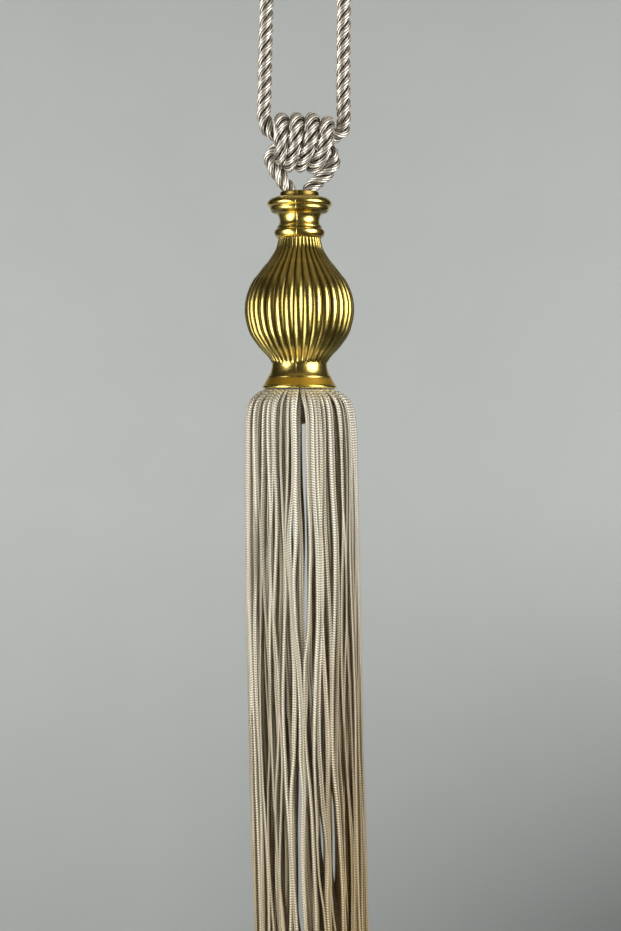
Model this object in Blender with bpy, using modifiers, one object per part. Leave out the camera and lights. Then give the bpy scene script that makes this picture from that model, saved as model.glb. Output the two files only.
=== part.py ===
"""Curtain tieback: a twisted rope loop, its wound knot, a moulded tassel head and the tassel's skirt.

Metres, +Z up. The origin is the hang point, the underside of the rope at the top of its loop.
The object hangs down from it, and its front faces -Y. The tables give real sizes in millimetres.
"""

import math

import bmesh
import bpy
import numpy as np

MM = 0.001

# Start from an empty file, with one collection for the tieback and one for cutters.
for old in list(bpy.data.objects):
    bpy.data.objects.remove(old, do_unlink=True)
tieback = bpy.data.collections.new("curtain_tieback")
bpy.context.scene.collection.children.link(tieback)
cutters = bpy.data.collections.new("cutters")
bpy.context.scene.collection.children.link(cutters)

# Main sizes.
HEAD_X = -2.9  # the head's axis, a little left of the hang point
HEAD_TOP_Z = -123.15  # the head's top rim
HEAD_LENGTH = 98.0  # rim to lip
ROPE_R = 3.87  # radius to the crest of a strand
ROPE_FLANK_R = 3.3
ROPE_STRANDS = 3
RING_POINTS = 9  # three for each strand
RING_STEP = 2.2  # the rope turns by one ring point in each step, so 19.8 mm for a full lay
LOOP_HALF_WIDTH = 19.4
LEG_TOP_Z = -20.0  # where the legs meet the arch, on the middle of the rope
KNOT_X = -0.1  # middle of the wound barrel
KNOT_Z = -98.3


def material(name, colour, metallic, roughness):
    """Plain finish for one node."""
    m = bpy.data.materials.new(name)
    m.use_nodes = True
    shader = m.node_tree.nodes["Principled BSDF"]
    shader.inputs["Base Color"].default_value = (*colour, 1.0)
    shader.inputs["Metallic"].default_value = metallic
    shader.inputs["Roughness"].default_value = roughness
    return m


def mesh_object(name, points, faces, finish, where=tieback):
    """One mesh object from points in millimetres."""
    mesh = bpy.data.meshes.new(name)
    mesh.from_pydata((np.asarray(points) * MM).tolist(), [], faces)
    mesh.validate()
    bm = bmesh.new()
    bm.from_mesh(mesh)
    bmesh.ops.recalc_face_normals(bm, faces=bm.faces)
    bm.to_mesh(mesh)
    bm.free()
    made = bpy.data.objects.new(name, mesh)
    where.objects.link(made)
    mesh.materials.append(finish)
    return made


def smooth_route(points, step):
    """Catmull-Rom curve through the points, read again at even steps of arc length."""
    p = np.asarray(points, float)
    p = np.vstack([2 * p[0] - p[1], p, 2 * p[-1] - p[-2]])
    t = np.linspace(0.0, 1.0, 24, endpoint=False)[:, None]
    fine = []
    for a, b, c, d in zip(p[:-3], p[1:-2], p[2:-1], p[3:], strict=True):
        fine.append(
            0.5 * (2 * b + (c - a) * t + (2 * a - 5 * b + 4 * c - d) * t**2 + (3 * b - a - 3 * c + d) * t**3)
        )
    fine = np.vstack([*fine, p[-2]])
    run = np.concatenate([[0.0], np.cumsum(np.linalg.norm(np.diff(fine, axis=0), axis=1))])
    count = max(2, round(run[-1] / step))
    at = np.linspace(0.0, run[-1], count + 1)
    return np.stack([np.interp(at, run, fine[:, k]) for k in range(fine.shape[1])], axis=1)


def tangents(route):
    """Unit directions along a route."""
    along = np.gradient(route, axis=0)
    return along / np.linalg.norm(along, axis=1)[:, None]


def carried_frames(route):
    """A side direction at each point that turns as little as it can."""
    along = tangents(route)
    side = np.cross(along[0], (0.0, 1.0, 0.0))
    sides = []
    for t in along:
        side = side - t * (side @ t)
        side = side / np.linalg.norm(side)
        sides.append(side)
    sides = np.array(sides)
    return sides, np.cross(along, sides)


def rope_points(route, side, across, scale_side, scale_across):
    """Rings of a three-strand rope. Each ring is turned by one ring point against the last."""
    turn = 2 * math.pi / RING_POINTS
    k = np.arange(RING_POINTS)
    radius = np.where(k % ROPE_STRANDS == 0, ROPE_R, ROPE_FLANK_R)
    rings = []
    for i, middle in enumerate(route):
        angle = (k + i) * turn
        rings.append(
            middle
            + np.outer(radius * np.cos(angle) * scale_side[i], side[i])
            + np.outer(radius * np.sin(angle) * scale_across[i], across[i])
        )
    return np.vstack(rings)


def tube_faces(rings, count):
    """Sides of a tube of rings, closed by a face at each end."""
    faces = []
    for i in range(rings - 1):
        for k in range(count):
            n = (k + 1) % count
            a, b = i * count + k, i * count + n
            c, d = b + count, a + count
            faces.append((a, b, c))
            faces.append((a, c, d))
    faces.append(tuple(range(count - 1, -1, -1)))
    faces.append(tuple(range((rings - 1) * count, rings * count)))
    return faces


ivory = material("ivory_rope", (0.80, 0.75, 0.66), 0.0, 0.55)
gold = material("gold_moulding", (0.72, 0.50, 0.16), 1.0, 0.28)
cream = material("cream_strands", (0.74, 0.66, 0.52), 0.0, 0.6)

# Rope. One length runs out of the head, through the knot, up round the loop and back.
# Columns: x from the hang point, depth (minus is the front), z, and how far the section is squeezed.
LEFT_TAIL = [
    ("bore end", -6.95, 0.0, -134.0, 1.0),
    ("in the bore", -7.0, 0.0, -127.0, 1.0),
    ("mouth", -8.1, 0.0, -122.2, 1.0),
    ("rise", -10.95, 0.0, -117.6, 1.0),
    ("rise", -14.1, 0.0, -113.4, 1.0),
    ("rise", -16.6, -0.4, -109.4, 1.0),
    ("outer bend", -17.2, -1.0, -105.9, 1.0),
    ("outer bend", -15.8, -1.6, -102.9, 0.98),
]
RIGHT_LEG = [
    ("out of the knot", 14.9, -0.9, -95.4, 0.94),
    ("bend", 17.9, -0.3, -93.2, 0.98),
    ("bend", 19.2, 0.0, -89.8, 1.0),
    ("leg", 19.25, 0.0, -85.0, 1.0),
    ("leg", 19.1, 0.0, -77.0, 1.0),
    ("leg", 19.0, 0.0, -68.0, 1.0),
    ("leg", 19.1, 0.0, -50.0, 1.0),
    ("leg", 19.3, 0.0, -32.0, 1.0),
]
LEFT_LEG = [
    ("leg", -19.4, 0.0, -30.0, 1.0),
    ("leg", -19.9, 0.0, -50.0, 1.0),
    ("leg", -20.2, 0.0, -68.0, 1.0),
    ("leg", -20.6, 0.0, -79.5, 1.0),
    ("leg", -20.6, 0.1, -85.5, 1.0),
    ("bend", -19.5, 0.6, -90.0, 1.0),
    ("bend", -17.2, 1.5, -93.3, 0.97),
]
RIGHT_TAIL = [
    ("out of the knot", 13.1, 1.2, -103.3, 0.92),
    ("outer bend", 14.5, 0.8, -106.8, 0.95),
    ("fall", 13.6, 0.5, -110.2, 1.0),
    ("fall", 11.6, 0.4, -113.2, 1.0),
    ("fall", 8.3, 0.3, -116.0, 1.0),
    ("fall", 4.8, 0.2, -118.8, 1.0),
    ("mouth", 2.2, 0.1, -121.9, 1.0),
    ("in the bore", 1.1, 0.0, -126.0, 1.0),
    ("bore end", 1.1, 0.0, -134.0, 1.0),
]
CORE_OFFSET = 3.62  # each of the two lengths inside the knot, from its middle
CORE_SQUEEZE = 0.87
CORE_REACH = 11.5
CORE_TURN = math.radians(62)
CORE_DROP = 0.6  # the right end of each length leaves the knot a little lower


def core_pass(sign):
    """The length of rope inside the knot. The two lengths stay opposite each other and cross as they go."""
    rows = []
    for share in np.linspace(-1.0, 1.0, 7):
        angle = -share * CORE_TURN * sign
        rows.append(
            (
                KNOT_X + share * CORE_REACH,
                sign * CORE_OFFSET * math.cos(angle),
                KNOT_Z + CORE_OFFSET * math.sin(angle) - CORE_DROP * max(0.0, share),
                CORE_SQUEEZE,
            )
        )
    return rows


def arch():
    """The top of the loop, from the right leg to the left."""
    rows = []
    rise = ROPE_R - LEG_TOP_Z
    for angle in np.linspace(0.0, math.pi, 11):
        rows.append((LOOP_HALF_WIDTH * math.cos(angle), 0.0, LEG_TOP_Z + rise * math.sin(angle), 1.0))
    return rows


rows = [r[1:] for r in LEFT_TAIL] + core_pass(-1) + [r[1:] for r in RIGHT_LEG] + arch()
rows += [r[1:] for r in LEFT_LEG] + core_pass(1) + [r[1:] for r in RIGHT_TAIL]
route = smooth_route(rows, RING_STEP)
squeeze = route[:, 3]
route = route[:, :3]
side, across = carried_frames(route)
rope = mesh_object(
    "rope", rope_points(route, side, across, squeeze, squeeze), tube_faces(len(route), RING_POINTS), ivory
)

# Knot. A second length of the rope is wound round the two that cross inside it.
# It runs from the back on the right to the front on the left, under the barrel between the turns.
# Columns: x from the hang point, degrees round the barrel (0 front, 90 top, 180 back, -90 bottom),
# how far the section is squeezed along the barrel, the turn's reach, and how far it is lifted.
KNOT_DEPTH = 11.6  # middle of the rope to the barrel's middle, front and back
KNOT_HEIGHT = 11.4
KNOT_PRESSED = 0.98  # the section's squeeze towards the barrel's middle
KNOT_TURNS = [
    ("tucked start", 11.3, 216.0, 0.80, 1.00, -0.4),
    ("fourth back", 11.3, 180.0, 0.86, 1.00, -0.8),
    ("fourth top", 11.1, 90.0, 0.90, 0.93, -0.9),
    ("fourth front", 10.6, 0.0, 0.86, 1.00, -0.9),
    ("fourth low front", 7.4, -45.0, 0.76, 1.00, -0.9),
    ("fourth bottom", 3.3, -90.0, 0.73, 1.00, -0.7),
    ("third back", 3.4, -180.0, 0.84, 1.00, 0.0),
    ("third top", 3.6, -270.0, 0.92, 1.00, 0.0),
    ("third front", 3.1, -360.0, 0.84, 1.00, 0.0),
    ("third low front", 0.3, -405.0, 0.76, 1.00, 0.0),
    ("third bottom", -2.8, -450.0, 0.73, 1.00, 0.0),
    ("second back", -3.9, -540.0, 0.84, 1.00, 0.0),
    ("second top", -4.1, -630.0, 0.92, 1.00, 0.0),
    ("second front", -4.4, -720.0, 0.84, 1.00, 0.0),
    ("second low front", -6.2, -765.0, 0.76, 1.00, 0.0),
    ("second bottom", -8.6, -810.0, 0.71, 1.00, 0.0),
    ("first back", -11.0, -900.0, 0.80, 1.00, 0.0),
    ("first top", -11.8, -990.0, 0.92, 1.00, 0.0),
    ("first front", -12.1, -1080.0, 0.84, 1.00, 0.0),
    ("tucked end", -12.2, -1108.0, 0.74, 0.97, 0.0),
]


def knot_route():
    """The winding's middle line, with its radial direction and its squeeze."""
    table = np.array([t[1:] for t in KNOT_TURNS])
    turned = table[:, 1]
    at = np.linspace(turned[0], turned[-1], 600)
    x, squeeze_along, reach, lift = (
        np.interp(at[::-1], turned[::-1], table[::-1, k])[::-1] for k in (0, 2, 3, 4)
    )
    soft = np.hanning(31) / np.hanning(31).sum()
    x, squeeze_along, reach, lift = (
        np.convolve(np.pad(c, 15, mode="edge"), soft, mode="valid") for c in (x, squeeze_along, reach, lift)
    )
    a = np.radians(at)
    fine = np.stack(
        [
            x,
            -KNOT_DEPTH * reach * np.cos(a),
            KNOT_Z + lift + KNOT_HEIGHT * reach * np.sin(a),
            squeeze_along,
            -np.cos(a),
            np.sin(a),
        ],
        axis=1,
    )
    run = np.concatenate([[0.0], np.cumsum(np.linalg.norm(np.diff(fine[:, :3], axis=0), axis=1))])
    count = round(run[-1] / RING_STEP)
    even = np.linspace(0.0, run[-1], count + 1)
    return np.stack([np.interp(even, run, fine[:, k]) for k in range(6)], axis=1)


wound = knot_route()
wound_route = wound[:, :3]
along = tangents(wound_route)
outward = np.column_stack([np.zeros(len(wound)), wound[:, 4], wound[:, 5]])
outward -= along * np.sum(outward * along, axis=1)[:, None]
outward /= np.linalg.norm(outward, axis=1)[:, None]
sideways = np.cross(along, outward)
knot = mesh_object(
    "knot",
    rope_points(wound_route, outward, sideways, np.full(len(wound), KNOT_PRESSED), wound[:, 3]),
    tube_faces(len(wound), RING_POINTS),
    ivory,
)

# Head. A moulded vase: collar rings, a bulb of reeds and a flared base over the skirt's root.
# Columns: radius and height under the top rim.
REEDS = 34
REED_DEPTH = 0.75
REED_SHIFT = math.radians(-90.0 - 6.2)  # a groove lies on the mould's parting line
REED_CREST = (0.0, 0.3, 0.7)  # a reed's points: its groove, then the two edges of its crest
FULL_REED_RADIUS = 20.0  # on a narrower ring the grooves are shallower
REED_FADE = 0.6  # the grooves' depth where the reeds start and end
COLLAR = [
    ("bore bottom", 8.3, -13.2),
    ("bore", 8.3, -2.6),
    ("mouth", 9.0, -0.5),
    ("rim", 9.45, 0.0),
    ("rim", 9.7, -0.5),
    ("top ring", 9.7, -2.1),
    ("flange top", 13.5, -3.1),
    ("flange edge", 15.5, -4.0),
    ("flange edge", 16.25, -5.1),
    ("flange groove", 16.0, -5.9),
    ("flange edge", 16.25, -6.8),
    ("flange edge", 15.7, -7.8),
    ("step", 14.7, -8.3),
    ("step", 14.0, -9.6),
    ("step", 12.6, -10.4),
    ("cove", 10.8, -11.9),
    ("cove", 10.1, -13.6),
    ("cove", 10.0, -14.9),
    ("cove", 10.3, -16.2),
    ("cove", 11.2, -17.7),
    ("lower ring", 12.2, -18.9),
    ("lower ring", 12.65, -20.5),
    ("lower ring", 12.2, -22.0),
    ("lower ring", 11.0, -22.8),
]
BULB = [
    ("reeds start", 10.45, -23.0),
    ("throat", 12.1, -28.9),
    ("throat", 16.2, -34.9),
    ("shoulder", 21.2, -41.4),
    ("shoulder", 25.5, -48.4),
    ("belly", 27.4, -57.4),
    ("belly", 26.4, -66.4),
    ("belly", 23.4, -73.4),
    ("waist", 18.4, -79.6),
    ("waist", 15.4, -82.7),
    ("reeds end", 14.2, -84.4),
]
BASE = [
    ("cove", 13.9, -85.5),
    ("cove", 14.3, -87.9),
    ("cove", 15.5, -91.9),
    ("lip", 15.7, -92.7),
    ("lip", 18.1, -96.4),
    ("lip", 18.6, -97.2),
    ("lip", 18.2, -98.0),
    ("recess", 16.9, -98.0),
    ("recess", 16.2, -96.5),
    ("recess", 13.6, -92.0),
    ("recess top", 12.4, -89.0),
]


def head_mesh():
    """The head's rings, with three points for each reed on the bulb and one on the turned parts."""
    points, faces, rings = [], [], []

    def ring(radii, height, angles):
        rings.append((len(points), len(angles)))
        for r, a in zip(radii, angles, strict=True):
            points.append((HEAD_X + r * math.cos(a), r * math.sin(a), HEAD_TOP_Z + height))

    plain = [REED_SHIFT + 2 * math.pi * k / REEDS for k in range(REEDS)]
    reeded = [a + 2 * math.pi / REEDS * part for a in plain for part in REED_CREST]
    for _, radius, height in COLLAR:
        ring([radius] * REEDS, height, plain)
    for row, (_, radius, height) in enumerate(BULB):
        depth = REED_DEPTH * min(1.0, radius / FULL_REED_RADIUS)
        if row in (0, len(BULB) - 1):
            depth *= REED_FADE
        ring([radius - (depth if k % 3 == 0 else 0.0) for k in range(3 * REEDS)], height, reeded)
    for _, radius, height in BASE:
        ring([radius] * REEDS, height, plain)
    for (a0, na), (b0, nb) in zip(rings[:-1], rings[1:], strict=True):
        if na == nb:
            for k in range(na):
                n = (k + 1) % na
                faces.append((a0 + k, a0 + n, b0 + n, b0 + k))
            continue
        few, many = (a0, b0) if na < nb else (b0, a0)
        for k in range(REEDS):
            n = (k + 1) % REEDS
            m = many + 3 * k
            following = many + 3 * n
            fan = [
                (few + k, m, m + 1),
                (few + k, m + 1, m + 2),
                (few + k, m + 2, few + n),
                (few + n, m + 2, following),
            ]
            faces.extend(fan if na < nb else [f[::-1] for f in fan])
    first, last = rings[0], rings[-1]
    faces.append(tuple(range(first[0], first[0] + first[1])))
    faces.append(tuple(range(last[0] + last[1] - 1, last[0] - 1, -1)))
    return points, faces


head = mesh_object("head", *head_mesh(), gold)

# Skirt. Flat cords hang from a bound root that sits in the head's base.
# Root columns: radius and height under the head's top rim.
ROOT = [
    ("top", 0.0, -89.35),
    ("top", 12.0, -89.35),
    ("side", 13.2, -92.1),
    ("side", 15.8, -96.6),
    ("under the lip", 16.0, -99.5),
    ("under the lip", 13.6, -101.1),
    ("underside", 8.4, -102.3),
    ("core", 5.6, -103.2),
    ("core", 5.3, -112.6),
    ("core end", 3.7, -115.4),
    ("core end", 0.0, -116.2),
]
ROOT_SIDES = 24
# Rows of cords. Columns: how many, radius at the root, radius of the hang, depth of the root under
# the lip, and the turn of the whole row in degrees.
CORD_ROWS = [
    ("outer", 24, 14.7, 27.0, 1.2, 3.0),
    ("second", 20, 12.3, 23.1, 2.4, 9.0),
    ("third", 12, 10.0, 19.2, 3.0, 14.0),
    ("inner", 8, 7.7, 15.0, 3.4, 4.0),
]
CORD_WIDTH = 2.8
CORD_THICK = 1.2
SKIRT_LENGTH = 300.0
# How a cord spreads under the lip, and how the skirt leans to the right as it falls.
# Columns: depth under the cord's root, share of the spread; then depth under the lip, lean.
SPREAD = [
    (-2.0, -0.08),
    (0.0, 0.0),
    (1.1, 0.24),
    (4.0, 0.60),
    (8.0, 0.80),
    (13.5, 0.91),
    (24.0, 0.975),
    (40.0, 1.0),
]
LEAN = [(0.0, 0.0), (24.0, 0.6), (42.0, 0.9), (116.0, 2.0), (196.0, 3.5), (272.0, 6.2), (310.0, 7.9)]
CORD_RINGS = [-1.6, 1.2, 4.2, 10.5, 26.0, 75.0, 130.0, 190.0, 245.0, 300.0]
JITTER = 0.9  # a cord's place round the skirt, in millimetres of arc
SWAY = 0.8  # how far a free cord waves to either side
SWAY_LENGTH = 31.0  # the wave's length along the cord, over two pi
SWAY_START = 12.0  # depth under the root where a cord starts to wave
SWAY_FULL = 72.0
UNEVEN_ENDS = 3.5
CORD_TURN = math.radians(150.0)  # the most that a flat cord turns on itself by its end
CORD_TURN_START = 22.0


def unrest(index, salt):
    """A fixed number from -1 to 1 for a cord."""
    value = math.sin(index * 12.9898 + salt * 78.233) * 43758.5453
    return 2.0 * (value - math.floor(value)) - 1.0


def cord_middle(index, place, row, depth_under_root):
    """A point on one cord's middle line."""
    _, count, root_r, hang_r, root_depth, turn = row
    spread = np.interp(depth_under_root, *zip(*SPREAD, strict=True))
    radius = root_r + (hang_r - root_r) * spread
    free = min(1.0, max(0.0, (depth_under_root - SWAY_START) / (SWAY_FULL - SWAY_START)))
    angle = math.radians(turn) + 2 * math.pi * place / count
    wave_length = SWAY_LENGTH * (1.0 + 0.29 * unrest(index, 3))
    wave = math.sin(depth_under_root / wave_length + math.pi * unrest(index, 4))
    angle += (JITTER * unrest(index, 1) * min(1.0, max(0.0, spread)) + SWAY * free * wave) / hang_r
    depth = root_depth + depth_under_root
    x = HEAD_X + radius * math.cos(angle) + np.interp(depth, *zip(*LEAN, strict=True))
    return np.array((x, radius * math.sin(angle), HEAD_TOP_Z - HEAD_LENGTH - depth)), angle


def cord_points(index, place, row):
    """Four corners of one cord at each of its rings. Lower down the flat cord turns on itself."""
    end = SKIRT_LENGTH - row[4] + UNEVEN_ENDS * unrest(index, 2)
    depths = [min(d, end) for d in CORD_RINGS[:-1]] + [end]
    middle = [cord_middle(index, place, row, d) for d in depths]
    route = np.array([m[0] for m in middle])
    along = tangents(route)
    corners = []
    for i, (_, angle) in enumerate(middle):
        flat = np.array((-math.sin(angle), math.cos(angle), 0.0))
        flat -= along[i] * (flat @ along[i])
        flat /= np.linalg.norm(flat)
        up = np.cross(along[i], flat)
        turned = CORD_TURN * unrest(index, 5) * max(0.0, depths[i] - CORD_TURN_START) / SKIRT_LENGTH
        wide = math.cos(turned) * flat + math.sin(turned) * up
        thin = -math.sin(turned) * flat + math.cos(turned) * up
        for a, b in ((-1, -1), (1, -1), (1, 1), (-1, 1)):
            corners.append(route[i] + 0.5 * a * CORD_WIDTH * wide + 0.5 * b * CORD_THICK * thin)
    return np.array(corners)


root_points = [(r * MM, 0.0, h * MM) for _, r, h in ROOT]
root_mesh = bpy.data.meshes.new("skirt")
root_mesh.from_pydata(root_points, [(k, k + 1) for k in range(len(root_points) - 1)], [])
skirt = bpy.data.objects.new("skirt", root_mesh)
tieback.objects.link(skirt)
skirt.location = (HEAD_X * MM, 0.0, HEAD_TOP_Z * MM)
root_mesh.materials.append(cream)
turn = skirt.modifiers.new("turn", "SCREW")
turn.axis = "Z"
turn.steps = ROOT_SIDES
turn.render_steps = ROOT_SIDES
turn.use_merge_vertices = True
turn.merge_threshold = 0.00001
turn.use_normal_calculate = True

cord_vertices, cord_faces, index = [], [], 0
for row in CORD_ROWS:
    for place in range(row[1]):
        first = len(cord_vertices)
        cord_vertices.extend(cord_points(index, place, row))
        cord_faces.extend(tuple(first + v for v in f) for f in tube_faces(len(CORD_RINGS), 4))
        index += 1
cords = mesh_object("cords", cord_vertices, cord_faces, cream, where=cutters)
cords.hide_render = True
cords.display_type = "WIRE"
join = skirt.modifiers.new("join", "BOOLEAN")
join.operation = "UNION"
join.solver = "EXACT"
join.object = cords
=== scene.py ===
"""Looks of the tasselled curtain tieback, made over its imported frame.

A rope loop closes above the view. A wound knot draws it together over a gold moulded head, and a skirt
of flat twisted cords falls from the head. Sizes are in millimetres, turned into metres as each mesh is
made. The front faces -Y.
"""

import math

import bpy
import numpy as np
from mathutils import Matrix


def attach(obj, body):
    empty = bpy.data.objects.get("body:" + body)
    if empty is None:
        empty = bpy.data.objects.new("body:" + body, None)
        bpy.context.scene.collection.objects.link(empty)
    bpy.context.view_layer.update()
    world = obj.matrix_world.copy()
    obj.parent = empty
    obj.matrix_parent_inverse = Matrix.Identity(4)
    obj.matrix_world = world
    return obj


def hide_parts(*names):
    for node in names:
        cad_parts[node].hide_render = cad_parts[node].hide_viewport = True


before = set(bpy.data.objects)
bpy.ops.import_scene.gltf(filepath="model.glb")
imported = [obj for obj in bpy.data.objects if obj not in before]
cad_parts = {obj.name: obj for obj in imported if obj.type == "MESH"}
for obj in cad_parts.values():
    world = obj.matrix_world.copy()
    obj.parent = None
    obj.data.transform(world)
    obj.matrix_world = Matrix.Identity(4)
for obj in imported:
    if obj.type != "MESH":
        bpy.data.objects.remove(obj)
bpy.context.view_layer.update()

# Camera. It stands 0.8 m in front, a little lower than the foot of the moulded head, and looks straight
# ahead. Its film is shifted down, so that the top of the loop and the ends of the skirt are out of view.
MM = 0.001
CAMERA_SPOT = (2.6, -800.0, -232.0)
VIEW_MIDDLE_Z = -259.75  # on the tieback, at the middle of the picture
FILM = 36.0  # long side of the film
FOCAL_SHARE = 1.7186  # focal length over the film's long side

lens = bpy.data.cameras.new("camera")
lens.sensor_width = FILM
lens.lens = FILM * FOCAL_SHARE
lens.shift_y = FOCAL_SHARE * (VIEW_MIDDLE_Z - CAMERA_SPOT[2]) / -CAMERA_SPOT[1]
camera = bpy.data.objects.new("camera", lens)
camera.location = [c * MM for c in CAMERA_SPOT]
camera.rotation_euler = (math.radians(90.0), 0.0, 0.0)
bpy.context.scene.collection.objects.link(camera)
bpy.context.scene.camera = camera

# Rope. Satin rayon plies, six to a strand, and three strands laid right-handed into 8 mm rope.
# One length leaves the head's bore on the left, passes through the knot, goes up round the top of the
# loop and comes back through the knot. Both its ends are glued in the bore.
ROPE_R = 3.87  # to the crest of a strand
STRANDS = 3
STRAND_SPREAD = 1.38  # a strand's distance from the rope's middle, over its radius
STRAND_R = ROPE_R / (1.0 + STRAND_SPREAD)
STRAND_OFFSET = ROPE_R - STRAND_R
PLIES = 6
PLY_POINTS = 8
PLY_R = 0.345 * STRAND_R  # a little over a third, so that neighbours are pressed together
PLY_OFFSET = STRAND_R - PLY_R
PLY_WANDER = 0.16  # radians that the plies roll to and fro in a strand
WANDER_LENGTH = 9.0
WANDER_APART = 2.1  # radians from one strand's wander to the next one's
CREVICE_FROM = 0.88  # share of the rope's radius where the painted shade between two strands starts
CREVICE_DEEP = 0.34  # share of the radius over which it deepens
PLY_CREST = (0.9, 0.86, 0.78)
PLY_CREVICE_SHADE = (0.055, 0.042, 0.028)
PLY_FLECK = (0.62, 0.56, 0.46)
CAD_STEP = 2.2  # between two rings of the rope in the frame
CAD_RING_POINTS = 9  # the rope in the frame turns by one of these in each step
RING_STEP = 0.6
CURVE_READINGS = 24  # between two points of a smooth route
ROPE_START = math.radians(54.0)  # where round the rope its first strand starts
LOOP_HALF_WIDTH = 19.4
LEG_TOP_Z = -20.0
KNOT_X = -0.1
KNOT_Z = -98.3
MOUTH = (-8.1, 0.0, -122.2)  # where the rope leaves the head's bore
# Columns: where, x from the hang point, depth, z, and how far the section is squeezed.
LEFT_TAIL = [
    ("bore end", -6.95, 0.0, -134.0, 1.0),
    ("in the bore", -7.0, 0.0, -127.0, 1.0),
    ("mouth", *MOUTH, 1.0),
    ("rise", -10.95, 0.0, -117.6, 1.0),
    ("rise", -14.1, 0.0, -113.4, 1.0),
    ("rise", -16.6, -0.4, -109.4, 1.0),
    ("outer bend", -17.2, -1.0, -105.9, 1.0),
    ("outer bend", -15.8, -1.6, -102.9, 0.98),
]
RIGHT_LEG = [
    ("out of the knot", 14.9, -0.9, -95.4, 0.94),
    ("bend", 17.9, -0.3, -93.2, 0.98),
    ("bend", 19.2, 0.0, -89.8, 1.0),
    ("leg", 19.25, 0.0, -85.0, 1.0),
    ("leg", 19.1, 0.0, -77.0, 1.0),
    ("leg", 19.0, 0.0, -68.0, 1.0),
    ("leg", 19.1, 0.0, -50.0, 1.0),
    ("leg", 19.3, 0.0, -32.0, 1.0),
]
LEFT_LEG = [
    ("leg", -19.4, 0.0, -30.0, 1.0),
    ("leg", -19.9, 0.0, -50.0, 1.0),
    ("leg", -20.2, 0.0, -68.0, 1.0),
    ("leg", -20.6, 0.0, -79.5, 1.0),
    ("leg", -20.6, 0.1, -85.5, 1.0),
    ("bend", -19.5, 0.6, -90.0, 1.0),
    ("bend", -17.2, 1.5, -93.3, 0.97),
]
RIGHT_TAIL = [
    ("out of the knot", 12.9, 1.2, -103.3, 1.0),
    ("outer bend", 14.2, 0.8, -106.7, 1.02),
    ("fall", 13.2, 0.5, -110.0, 1.0),
    ("fall", 11.3, 0.4, -112.9, 1.0),
    ("fall", 8.3, 0.3, -116.0, 1.0),
    ("fall", 4.8, 0.2, -118.8, 1.0),
    ("mouth", 2.2, 0.1, -121.9, 1.0),
    ("in the bore", 1.1, 0.0, -126.0, 1.0),
    ("bore end", 1.1, 0.0, -134.0, 1.0),
]
ARCH_POINTS = 11
CORE_POINTS = 7
CORE_OFFSET = 3.62  # each of the two lengths inside the knot, from its middle
CORE_SQUEEZE = 0.87
CORE_REACH = 11.5  # from the knot's middle to either end of a length inside it
CORE_TURN = math.radians(62)  # that a length goes round the other on its way from the middle
CORE_DROP = 0.6  # of its right end


def core_pass(sign):
    """The length inside the knot. The two lengths stay opposite each other and cross as they go."""
    share = np.linspace(-1.0, 1.0, CORE_POINTS)
    angle = -share * CORE_TURN * sign
    x = KNOT_X + share * CORE_REACH
    y = sign * CORE_OFFSET * np.cos(angle)
    z = KNOT_Z + CORE_OFFSET * np.sin(angle) - CORE_DROP * np.maximum(0.0, share)
    return np.column_stack([x, y, z, np.full(CORE_POINTS, CORE_SQUEEZE)])


def arch():
    """The top of the loop, half an ellipse from the right leg to the left."""
    angle = np.linspace(0.0, math.pi, ARCH_POINTS)
    rise = ROPE_R - LEG_TOP_Z
    x = LOOP_HALF_WIDTH * np.cos(angle)
    z = LEG_TOP_Z + rise * np.sin(angle)
    return np.column_stack([x, np.zeros(ARCH_POINTS), z, np.ones(ARCH_POINTS)])


def smooth_route(points, step):
    """Catmull-Rom curve through the points, read again at even steps of arc length."""
    p = np.asarray(points, float)
    p = np.vstack([2 * p[0] - p[1], p, 2 * p[-1] - p[-2]])
    a, b, c, d = (p[k : len(p) - 3 + k, None, :] for k in range(4))
    t = np.linspace(0.0, 1.0, CURVE_READINGS, endpoint=False)[None, :, None]
    curve = 2 * b + (c - a) * t + (2 * a - 5 * b + 4 * c - d) * t**2 + (3 * b - a - 3 * c + d) * t**3
    fine = np.vstack([0.5 * curve.reshape(-1, p.shape[1]), p[-2]])
    run = np.concatenate([[0.0], np.cumsum(np.linalg.norm(np.diff(fine, axis=0), axis=1))])
    at = np.linspace(0.0, run[-1], max(2, round(run[-1] / step)) + 1)
    return np.stack([np.interp(at, run, column) for column in fine.T], axis=1)


def unit(vectors):
    """The vectors at length one."""
    return vectors / np.linalg.norm(vectors, axis=-1, keepdims=True)


def carried_frames(route):
    """Two directions square to the route at each point, carried along it with no turn of their own."""
    along = unit(np.gradient(route, axis=0))
    side = np.cross(along[0], (0.0, 1.0, 0.0))
    sides = []
    for direction in along:
        side = unit(side - direction * (side @ direction))
        sides.append(side)
    sides = np.array(sides)
    return sides, np.cross(along, sides)


def run_of(route):
    """Arc length from the first point to each point."""
    return np.concatenate([[0.0], np.cumsum(np.linalg.norm(np.diff(route, axis=0), axis=1))])


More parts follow.
